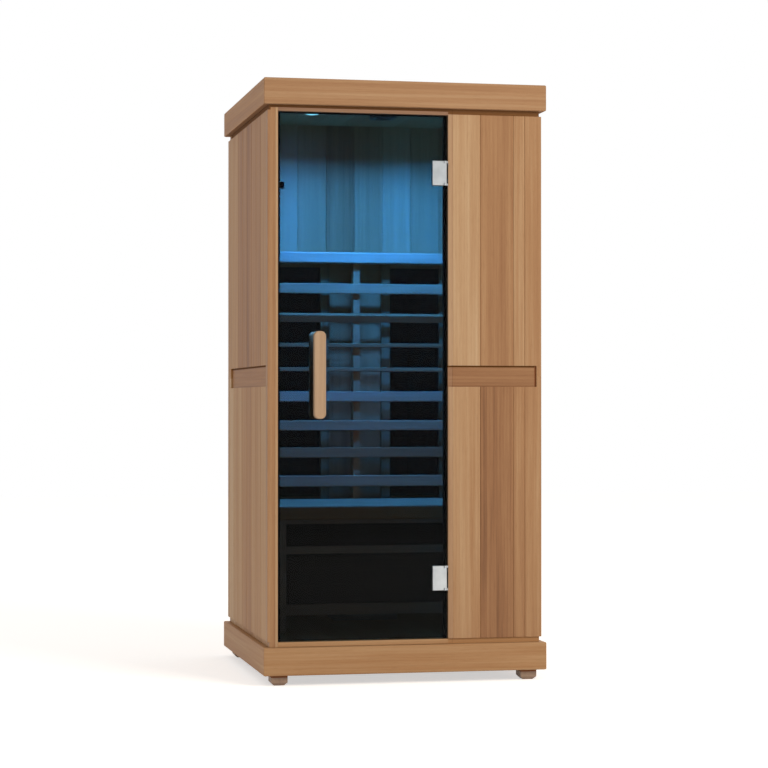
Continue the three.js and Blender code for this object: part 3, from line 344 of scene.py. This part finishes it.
def soften(piece, width):
    """Rounds the edges of a CAD node with modifiers, so its own mesh stays as it is."""
    weld = piece.modifiers.new("weld", "WELD")
    weld.merge_threshold = 0.00001
    edge = piece.modifiers.new("edge", "BEVEL")
    edge.width = width
    edge.segments = 2
    edge.limit_method = "ANGLE"
    edge.angle_limit = math.radians(35)
    edge.use_clamp_overlap = False
    edge.harden_normals = False


def dress(material, *names, edge=SAWN_EDGE):
    for name in names:
        piece = NODES[name]
        piece.data.materials.clear()
        piece.data.materials.append(material)
        if edge:
            soften(piece, edge)


# Walls

front_low, front_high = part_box("front_panel")
front_width = front_high.x - front_low.x
front_edges = [front_low.x + front_width * share for share in FRONT_SEAMS]
front_face = front_low.y
# Painted shade, in one even colour, in the gap over the plinth.
foot_gap_shade = patch(
    PLINTH_GAP_SHADE, y=behind(front_face, 1, NECK_NEAR, NECK_FAR), z=(-BEYOND, BOARD_SPAN[0])
)
belt_middle = sum(BOARD_SPAN) / 2
belt_span = (belt_middle - BELT_HALF, belt_middle + BELT_HALF)
belt_top = (belt_span[1] - BELT_SHADOW, belt_span[1] + BELT_LAP)
belt_end = front_high.x - BELT_CORNER_STRIP
front_recess = behind(front_face, 1, BELT_NEAR, BELT_FAR)
front_belt = patch(FRONT_BELT_TONE, y=front_recess, z=belt_span)
# Painted shadow along the belt's top edge and at its end beside the corner.
front_belt_top_shade = patch(BELT_TOP_SHADE, y=front_recess, z=belt_top)
front_belt_end_shade = patch(
    BELT_END_AND_FOOT_SHADE, y=front_recess, x=(belt_end - BELT_SHADOW, belt_end + BELT_LAP), z=belt_span
)
dress(
    wood(
        "front_boards", "z", "x",
        split_boards("x", front_edges, FRONT_TONES_ABOVE, FRONT_TONES_BELOW, belt_middle),
        front_belt, contrast=1.2, saturation=0.955,
        # Painted shade under the cap, over the plinth and along the belt's top and end.
        painted_shades=[neck_shade("y", front_face, 1), foot_gap_shade, front_belt_top_shade, front_belt_end_shade],
    ),
    "front_panel",
)
for side, outward in (("left", -1), ("right", 1)):
    wall_low, wall_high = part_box(f"{side}_wall_panel")
    wall_edges = even_edges(wall_low.y, wall_high.y, OUTER_BOARD)
    wall_face = outward * max(abs(wall_low.x), abs(wall_high.x))
    wall_recess = behind(wall_face, -outward, BELT_NEAR, BELT_FAR)
    dress(
        wood(
            f"{side}_boards", "z", "y",
            split_boards("y", wall_edges, SIDE_TONES_ABOVE, SIDE_TONES_BELOW, belt_middle),
            patch(SIDE_BELT_TONE, x=wall_recess, z=belt_span), contrast=1.3, saturation=1.11,
            # Painted shade under the cap and along the belt's top edge.
            painted_shades=[
                neck_shade("x", wall_face, -outward),
                patch(BELT_TOP_SHADE, x=wall_recess, z=belt_top),
            ],
        ),
        f"{side}_wall_panel",
    )
back_low, back_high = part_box("back_wall_panel")
back_edges = even_edges(back_low.x, back_high.x, OUTER_BOARD)
dress(wood("back_boards", "z", "x", boards("x", back_edges, BACK_TONES)), "back_wall_panel")

# Frame of the door opening
stile_low, stile_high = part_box("left_stile")
opening_left, opening_right = (corner.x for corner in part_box("door_sill"))
opening_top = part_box("head_rail")[0].z + HEAD_STOP
# The stile's paler strip beside the door is a painted highlight of its rounded edge.
stile_edges = [stile_low.x, opening_left - STILE_HIGHLIGHT_STRIP, stile_high.x]
dress(
    wood(
        "stile_wood", "z", "x", boards("x", stile_edges, STILE_TONES),
        contrast=1.2, saturation=0.95,
        # Painted shade under the cap and on the stop beside the glass.
        painted_shades=[
            neck_shade("x", stile_low.x, 1),
            neck_shade("y", front_face, 1, HEAD_FACE_TOP),
            patch(STOP_SHADE, x=(opening_left, BEYOND)),
        ],
    ),
    "left_stile",
)
dress(
    wood(
        "jamb_wood", "z", "x", flat_tone(0.62), front_belt, saturation=0.88,
        # Painted shade under the cap, over the plinth, along the belt's top and on the stop beside
        # the glass.
        painted_shades=[
            neck_shade("y", front_face, 1),
            foot_gap_shade,
            front_belt_top_shade,
            patch(STOP_SHADE, x=(-BEYOND, opening_right)),
        ],
    ),
    "hinge_jamb",
)
dress(
    wood(
        "head_wood", "x", "z", flat_tone(0.02), saturation=0.80,
        # Painted shade under the cap and on the stop under the head rail.
        painted_shades=[
            neck_shade("y", front_face, 1, HEAD_FACE_TOP),
            patch(STOP_SHADE, z=(-BEYOND, opening_top)),
        ],
    ),
    "head_rail",
)
dress(wood("sill_wood", "x", "z", flat_tone(0.66)), "door_sill")

# Cap, plinth and feet
dress(
    wood("cap_wood_across", "x", "z", flat_tone(0.52), contrast=1.1, saturation=0.94),
    "cap_front", "cap_back",
)
cap_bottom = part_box("cap_left")[0].z
dress(
    wood(
        "cap_wood_deep", "y", "z", flat_tone(0.34), contrast=1.1, saturation=1.14,
        # Painted shade on the underside of the cap's sides.
        painted_shades=[patch(CAP_UNDERSIDE_SHADE, z=(-BEYOND, cap_bottom + UNDERSIDE))],
    ),
    "cap_left", "cap_right",
)
dress(
    wood("plinth_wood_across", "x", "z", flat_tone(0.66), contrast=1.1),
    "plinth_front", "plinth_back",
)
dress(
    wood("plinth_wood_deep", "y", "z", flat_tone(0.54), contrast=1.1, saturation=1.10),
    "plinth_left", "plinth_right",
)
foot_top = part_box("foot_front_left")[1].z
dress(
    wood(
        "foot_wood", "y", "x", flat_tone(0.40), saturation=0.62,
        # Painted shade on the tops of the feet, under the plinth.
        painted_shades=[patch(BELT_END_AND_FOOT_SHADE, z=(foot_top - FOOT_SHADE, BEYOND))],
    ),
    "foot_front_left", "foot_front_right", "foot_back_left", "foot_back_right",
)


# Linings, floor, ceiling and roof


def lining(side, axis, tones, painted_shades=()):
    corner_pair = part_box(f"{side}_lining")
    low, high = (corner[AXES[axis]] for corner in corner_pair)
    tone_of = boards(axis, even_edges(low, high, LINING_BOARD), tones)
    dress(wood(f"{side}_lining_boards", "z", axis, tone_of, painted_shades=painted_shades), f"{side}_lining")


post_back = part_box("back_lining")[0].y + POST_DEPTH
# Painted shade that darkens the posts in front of the back lining.
lining("back", "x", BACK_LINING_TONES, [patch(POST_SHADE, POST_SHARE, y=(-BEYOND, post_back))])
lining("left", "y", SIDE_LINING_TONES)
lining("right", "y", SIDE_LINING_TONES)
lining("front", "x", FRONT_LINING_TONES)
floor_edges = even_edges(-FLOOR_HALF, FLOOR_HALF, FLOOR_BOARD)
dress(wood("floor_boards", "y", "x", boards("x", floor_edges, FLOOR_TONES)), "floor_panel")
ceiling_low, ceiling_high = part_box("ceiling_panel")
ceiling_edges = even_edges(ceiling_low.x, ceiling_high.x, CEILING_BOARD)
dress(wood("ceiling_boards", "y", "x", boards("x", ceiling_edges, CEILING_TONES)), "ceiling_panel")
dress(wood("roof_plywood", "x", "y", flat_tone(0.88), contrast=0.7), "roof_cover")

# Bench, backrest and handles
dress(wood("bench_boards", "x", "y", flat_tone(0.66)), "bench_seat")
dress(wood("bench_face", "x", "z", flat_tone(0.55), saturation=0.62), "bench_front")
SLATS = [f"slat_{number}" for number in range(1, len(SLAT_TONES) + 1)]
for slat, tone in zip(SLATS, SLAT_TONES):
    dress(wood(f"{slat}_wood", "x", "z", flat_tone(tone)), f"backrest_{slat}")
dress(wood("ledge_wood", "x", "z", flat_tone(0.98), paler=0.06), "backrest_ledge")
dress(wood("rib_wood", "z", "x", flat_tone(0.58)), "centre_rib")
dress(
    wood("handle_wood", "z", "x", flat_tone(0.90), contrast=1.2, saturation=0.82),
    "door_handle_outer", "door_handle_inner", edge=None,
)


# Glass, metal and plastic


def tinted_glass():
    shader = Shader("tinted_glass")
    smudge = shader.noise(shader.place, scale=5.0, detail=4.0)
    shader.set(
        Base_Color=(0.190, 0.202, 0.210, 1.0),
        Roughness=shader.spread(smudge, 0.0, 0.025),
        IOR=1.133,
        Transmission_Weight=1.0,
        Specular_IOR_Level=0.05,
    )
    return shader.material


def brushed_metal():
    shader = Shader("brushed_metal")
    strokes = shader.noise(shader.scaled(shader.place, (1400.0, 1400.0, 25.0)), detail=2.0)
    tint = shader.noise(shader.place, scale=30.0, detail=2.0)
    shade = shader.sum(shader.swing(strokes, 0.25), tint)
    shader.set(
        Base_Color=shader.ramp(shade, ((0.3, (0.46, 0.488, 0.505)), (0.7, (0.56, 0.588, 0.605)))),
        Metallic=0.85,
        Roughness=shader.spread(strokes, 0.28, 0.48),
    )
    shader.bump(strokes, strength=0.08, distance=0.0002)
    return shader.material


def moulded_plastic(name, darkest, palest):
    shader = Shader(name)
    pebble = shader.noise(shader.place, scale=1600.0, detail=2.0)
    cloud = shader.noise(shader.place, scale=40.0, detail=2.0)
    shader.set(
        Base_Color=shader.ramp(cloud, ((0.3, (darkest,) * 3), (0.7, (palest,) * 3))),
        Roughness=shader.spread(pebble, 0.38, 0.62),
    )
    shader.bump(pebble, strength=0.25, distance=0.0003)
    return shader.material


def heater_film():
    """Black carbon film: a fine weave with paler strands."""
    strand_rate = 2400.0  # radians per metre
    shader = Shader("heater_film")
    place = shader.split()
    warp = shader.math("SINE", shader.math("MULTIPLY", place["x"], strand_rate))
    weft = shader.math("SINE", shader.math("MULTIPLY", place["z"], strand_rate))
    weave = shader.math("MULTIPLY", warp, weft)
    cloud = shader.noise(shader.place, scale=24.0, detail=3.0)
    shade = shader.sum(shader.swing(cloud, 0.3), shader.math("MULTIPLY", weave, 0.1), 0.5)
    shader.set(
        Base_Color=shader.ramp(shade, ((0.0, (0.010, 0.010, 0.010)), (1.0, (0.026, 0.026, 0.025)))),
        Roughness=shader.spread(cloud, 0.6, 0.8),
        Specular_IOR_Level=0.08,
    )
    shader.bump(weave, strength=0.15, distance=0.0003)
    return shader.material


def coated_steel():
    shader = Shader("coated_steel")
    orange_peel = shader.noise(shader.place, scale=420.0, detail=2.0)
    cloud = shader.noise(shader.place, scale=18.0, detail=3.0)
    shader.set(
        Base_Color=shader.ramp(cloud, ((0.3, (0.235, 0.245, 0.255)), (0.7, (0.285, 0.295, 0.305)))),
        Metallic=0.25,
        Roughness=shader.spread(orange_peel, 0.42, 0.60),
    )
    shader.bump(orange_peel, strength=0.2, distance=0.0004)
    return shader.material


def lamp_lens(centre, lens_radius):
    """The lit lens inside a metal ring."""
    metal, frosted = (0.55, 0.56, 0.57, 1.0), (0.75, 0.85, 0.9, 1.0)
    glow_stops = ((0.0, (0.32, 0.86, 1.0)), (0.8, (0.20, 0.64, 0.80)), (1.0, (0.08, 0.32, 0.46)))
    glow_strength = 4.6
    rib_rate = 3000.0  # radians per metre
    shader = Shader("lamp_lens")
    place = shader.split()
    across = shader.math("SUBTRACT", place["x"], centre.x)
    deep = shader.math("SUBTRACT", place["y"], centre.y)
    radius = shader.math(
        "SQRT", shader.sum(shader.math("POWER", across, 2.0), shader.math("POWER", deep, 2.0))
    )
    lens = shader.math("LESS_THAN", radius, lens_radius)
    ribs = shader.math("SINE", shader.math("MULTIPLY", radius, rib_rate))
    frost = shader.noise(shader.place, scale=300.0, detail=2.0)
    shader.set(
        Base_Color=shader.mix(lens, metal, frosted),
        Roughness=shader.spread(frost, 0.25, 0.45),
        Emission_Color=shader.ramp(shader.math("DIVIDE", radius, lens_radius), glow_stops),
        Emission_Strength=shader.math("MULTIPLY", lens, glow_strength),
    )
    shader.bump(ribs, strength=0.15, distance=0.0004)
    return shader.material


LENS_RADIUS = 0.0242
METAL = brushed_metal()
dress(tinted_glass(), "door_glass", edge=None)
for height in ("lower", "upper"):
    hinge_parts = [f"{height}_hinge_{part}" for part in ("outer_plate", "inner_plate", "jamb_leaf")]
    dress(METAL, *hinge_parts, f"handle_bolt_{height}", edge=None)
dress(
    moulded_plastic("moulded_plastic", darkest=0.012, palest=0.021),
    "door_catch", "control_panel", edge=MOULDED_EDGE,
)
dress(
    moulded_plastic("vent_plastic", darkest=0.080, palest=0.110),
    "vent_frame", "vent_slide", edge=MOULDED_EDGE,
)
dress(heater_film(), "leg_heater", "back_heater_left", "back_heater_right")
dress(coated_steel(), "power_box")
light_low, light_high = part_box("ceiling_light")
light_middle = (light_low + light_high) / 2
dress(lamp_lens(light_middle, LENS_RADIUS), "ceiling_light", edge=None)
for node in NODES.values():
    carried_normals = node.data.attributes.get("custom_normal")
    if carried_normals:
        node.data.attributes.remove(carried_normals)


# Screws

SCREW_SIDES = 20
SCREW_SINK = 0.0002  # into the face that carries it
HEAD_PROFILE = ((1.00, 0.0), (1.00, 0.30), (0.95, 0.62), (0.84, 0.86), (0.68, 1.0))  # reach, height
CROSS_ARM, CROSS_HALF, CROSS_DEPTH, CROSS_TAPER = 0.50, 0.12, 0.70, 0.75  # shares of the head
SHARP_ANGLE = math.radians(40)

# Radius and height of each kind of head, and where it stands on its piece
CLAMP_SCREW, CLAMP_SPACING, CLAMP_INSET = (0.0048, 0.0022), 0.022, 0.018
LEAF_SCREW, LEAF_SPACING, LEAF_INSET = (0.0038, 0.0009), 0.024, 0.0195
VENT_SCREW, VENT_INSET = (0.0030, 0.0012), 0.0065
ROOF_SCREW, ROOF_INSET = (0.0045, 0.0012), 0.030
BOX_SCREW, BOX_INSET, BOX_FAR_ROW = (0.0040, 0.0016), 0.010, 0.128


def screw_head(net, radius, height):
    """A pan head with a cross recess, standing on the plane z = 0. Returns its vertices."""
    turns = [math.tau * step / SCREW_SIDES for step in range(SCREW_SIDES)]
    rings = [
        [
            net.verts.new((
                radius * reach * math.cos(turn), radius * reach * math.sin(turn), height * level
            ))
            for turn in turns
        ]
        for reach, level in HEAD_PROFILE
    ]
    arm, half = radius * CROSS_ARM, radius * CROSS_HALF
    quarter = ((arm, -half), (arm, half), (half, half))
    cross = [
        Matrix.Rotation(math.tau * turn / 4, 2) @ Vector(corner)
        for turn in range(4)
        for corner in quarter
    ]
    floor_height = height * (1 - CROSS_DEPTH)
    mouth = [net.verts.new((*corner, height)) for corner in cross]
    bottom = [net.verts.new((*(corner * CROSS_TAPER), floor_height)) for corner in cross]
    for low, high in (*zip(rings, rings[1:]), (mouth, bottom)):
        for index in range(len(low)):
            after = (index + 1) % len(low)
            net.faces.new((low[index], low[after], high[after], high[index]))
    net.faces.new(rings[0])
    net.faces.new(bottom)
    rims = [
        net.edges.get((loop[index - 1], loop[index]))
        for loop in (rings[-1], mouth)
        for index in range(len(loop))
    ]
    bmesh.ops.triangle_fill(net, use_beauty=True, edges=rims)
    return [vertex for ring in (*rings, mouth, bottom) for vertex in ring]


def add_screws(name, body, places, facing, size):
    net = bmesh.new()
    facing = Vector(facing)
    turn = facing.to_track_quat("Z", "Y").to_matrix().to_4x4()
    for place in places:
        seat = Matrix.Translation(Vector(place) - facing * SCREW_SINK)
        bmesh.ops.transform(net, matrix=seat @ turn, verts=screw_head(net, *size))
    bmesh.ops.recalc_face_normals(net, faces=net.faces)
    mesh = bpy.data.meshes.new(name)
    net.to_mesh(mesh)
    net.free()
    mesh.shade_smooth()
    mesh.set_sharp_from_angle(angle=SHARP_ANGLE)
    mesh.materials.append(METAL)
    made = bpy.data.objects.new(name, mesh)
    bpy.context.scene.collection.objects.link(made)
    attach(made, body)


def rows(low, high, inset):
    return low + inset, high - inset


def corners(low, high, inset):
    return [(x, y) for x in rows(low.x, high.x, inset) for y in rows(low.y, high.y, inset)]


for height in ("lower", "upper"):
    plate_low, plate_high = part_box(f"{height}_hinge_inner_plate")
    boss_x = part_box(f"{height}_hinge_outer_plate")[0].x + CLAMP_INSET
    leaf_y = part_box(f"{height}_hinge_jamb_leaf")[1].y - LEAF_INSET
    hinge_middle = (plate_low.z + plate_high.z) / 2
    add_screws(
        f"{height}_hinge_clamp_screws", "door",
        [(boss_x, plate_high.y, hinge_middle + step * CLAMP_SPACING) for step in (-1, 1)],
        (0, 1, 0), CLAMP_SCREW,
    )
    add_screws(
        f"{height}_hinge_leaf_screws", "cabin",
        [(opening_right, leaf_y, hinge_middle + step * LEAF_SPACING) for step in (-1, 0, 1)],
        (-1, 0, 0), LEAF_SCREW,
    )
vent_low, vent_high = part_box("vent_frame")
add_screws(
    "vent_frame_screws", "cabin",
    [(*corner, vent_low.z) for corner in corners(vent_low, vent_high, VENT_INSET)],
    (0, 0, -1), VENT_SCREW,
)
roof_low, roof_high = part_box("roof_cover")
roof_middle = (roof_low + roof_high) / 2
roof_places = [
    *corners(roof_low, roof_high, ROOF_INSET),
    *((roof_middle.x, y) for y in rows(roof_low.y, roof_high.y, ROOF_INSET)),
    *((x, roof_middle.y) for x in rows(roof_low.x, roof_high.x, ROOF_INSET)),
]
add_screws(
    "roof_cover_screws", "cabin",
    [(*place, roof_high.z) for place in roof_places], (0, 0, 1), ROOF_SCREW,
)
box_low, box_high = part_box("power_box")
add_screws(
    "power_box_screws", "cabin",
    [
        (x, box_low.y + row, box_high.z)
        for x in rows(box_low.x, box_high.x, BOX_INSET)
        for row in (BOX_INSET, BOX_FAR_ROW)
    ],
    (0, 0, 1), BOX_SCREW,
)


# Lights

LAMP_GAP = 0.004  # under the ceiling light
SHADED_FROM_GLOW = (
    "floor_panel", "bench_front", "leg_heater", "power_box", "door_sill", "plinth_front",
    "vent_frame", "vent_slide", "back_heater_left", "back_heater_right",
)


def lamp(name, place, target, size, energy, colour, spread=180.0, reaches=None):
    """A soft lamp that no ray sees. It lights the nodes that it reaches, or everything."""
    data = bpy.data.lights.new(name, "AREA")
    data.shape = "RECTANGLE"
    data.size, data.size_y = size
    data.energy = energy
    data.color = colour
    data.spread = math.radians(spread)
    made = bpy.data.objects.new(name, data)
    bpy.context.scene.collection.objects.link(made)
    made.location = place
    made.rotation_euler = (Vector(target) - Vector(place)).to_track_quat("-Z", "Y").to_euler()
    made.visible_camera = made.visible_transmission = made.visible_glossy = False
    if reaches:
        group = bpy.data.collections.new(f"{name}_reaches")
        for node_name in reaches:
            group.objects.link(NODES[node_name])
        made.light_linking.receiver_collection = group


lit_inside = [name for name in NODES if name not in SHADED_FROM_GLOW]
lamp_height = light_low.z - LAMP_GAP
lamp(
    "key_light", place=(3.6, -5.6, 4.2), target=(0.0, 0.0, 0.95),
    size=(3.0, 3.0), energy=264.0, colour=(1.0, 0.92, 0.78),
)
lamp(
    "cabin_glow", place=(0.02, light_middle.y, lamp_height), target=(0.02, light_middle.y, 0.0),
    size=(0.70, 0.06), energy=98.0, colour=(0.022, 0.235, 1.0), spread=146.0, reaches=lit_inside,
)
lamp(
    "lens_halo", place=(light_middle.x, light_middle.y, lamp_height),
    target=(light_middle.x, light_middle.y, 0.0),
    size=(0.05, 0.05), energy=3.2, colour=(0.10, 0.22, 1.0), reaches=lit_inside,
)
lamp(
    "heater_glow", place=(0.0, -0.20, 0.72), target=(0.0, 0.40, 0.72),
    size=(0.6, 0.5), energy=0.72, colour=(1.0, 0.30, 0.10),
    reaches=["centre_rib", *(f"backrest_{slat}" for slat in SLATS)],
)
lamp(
    "lining_fill", place=(0.0, -0.15, 0.90), target=(0.0, 0.42, 0.90),
    size=(0.2, 0.3), energy=0.95, colour=(0.10, 0.30, 1.0), spread=60.0, reaches=["back_lining"],
)
grip_low, grip_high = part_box("door_handle_inner")
grip_edge = grip_low.x + 0.010
lamp(
    "handle_glow", place=(grip_edge, grip_low.y - 0.012, grip_high.z + 0.025),
    target=(grip_edge, grip_low.y, grip_high.z - 0.006),
    size=(0.02, 0.01), energy=0.14, colour=(0.17, 0.49, 1.0), reaches=["door_handle_inner"],
)
lamp(
    "back_fill", place=(2.2, 6.0, 3.4), target=(0.0, 0.0, 0.95),
    size=(3.0, 3.0), energy=170.0, colour=(1.0, 0.94, 0.86), reaches=NODES,
)


# World, floor and camera


def studio_world():
    """Soft light on the object, and plain white where the camera looks past it."""
    world = bpy.data.worlds.new("studio")
    bpy.context.scene.world = world
    world.use_nodes = True
    graph = Graph(world.node_tree)
    path = graph.add("ShaderNodeLightPath").outputs
    before_bounce = graph.math("LESS_THAN", path["Diffuse Depth"], 0.5)
    soft = graph.add("ShaderNodeBackground", {"Color": (1.0, 0.94, 0.88, 1.0), "Strength": 0.55})
    white = graph.add("ShaderNodeBackground", {"Color": (1.0, 1.0, 1.0, 1.0), "Strength": 1.0})
    choice = graph.add("ShaderNodeMixShader", {
        0: graph.math("MULTIPLY", graph.seen(path), before_bounce),
        1: soft.outputs[0],
        2: white.outputs[0],
    })
    graph.add("ShaderNodeOutputWorld", {"Surface": choice.outputs[0]})


def studio_floor():
    mesh = bpy.data.meshes.new("studio_floor")
    net = bmesh.new()
    bmesh.ops.create_grid(net, x_segments=8, y_segments=8, size=14.0)
    net.to_mesh(mesh)
    net.free()
    made = bpy.data.objects.new("studio_floor", mesh)
    bpy.context.scene.collection.objects.link(made)
    shader = Shader("studio_floor")
    path = shader.add("ShaderNodeLightPath").outputs
    shader.set(
        Base_Color=(0.88, 0.88, 0.88, 1.0),
        Roughness=0.9,
        Specular_IOR_Level=0.0,
        Emission_Color=(1.0, 1.0, 1.0, 1.0),
        Emission_Strength=shader.math("MULTIPLY", shader.seen(path), 0.56),
    )
    mesh.materials.append(shader.material)


studio_world()
studio_floor()

bpy.context.scene.view_settings.view_transform = "Standard"
camera = bpy.data.objects.new("camera", bpy.data.cameras.new("camera"))
bpy.context.scene.collection.objects.link(camera)
camera.data.sensor_width = SENSOR
camera.data.lens = FOCAL_PIXELS / IMAGE_SIDE * SENSOR
camera.data.clip_end = CLIP_END
camera.location = CAMERA_PLACE
forward = Vector((
    math.sin(CAMERA_YAW) * math.cos(CAMERA_PITCH),
    math.cos(CAMERA_YAW) * math.cos(CAMERA_PITCH),
    math.sin(CAMERA_PITCH),
))
camera.rotation_euler = forward.to_track_quat("-Z", "Y").to_euler()
bpy.context.scene.camera = camera
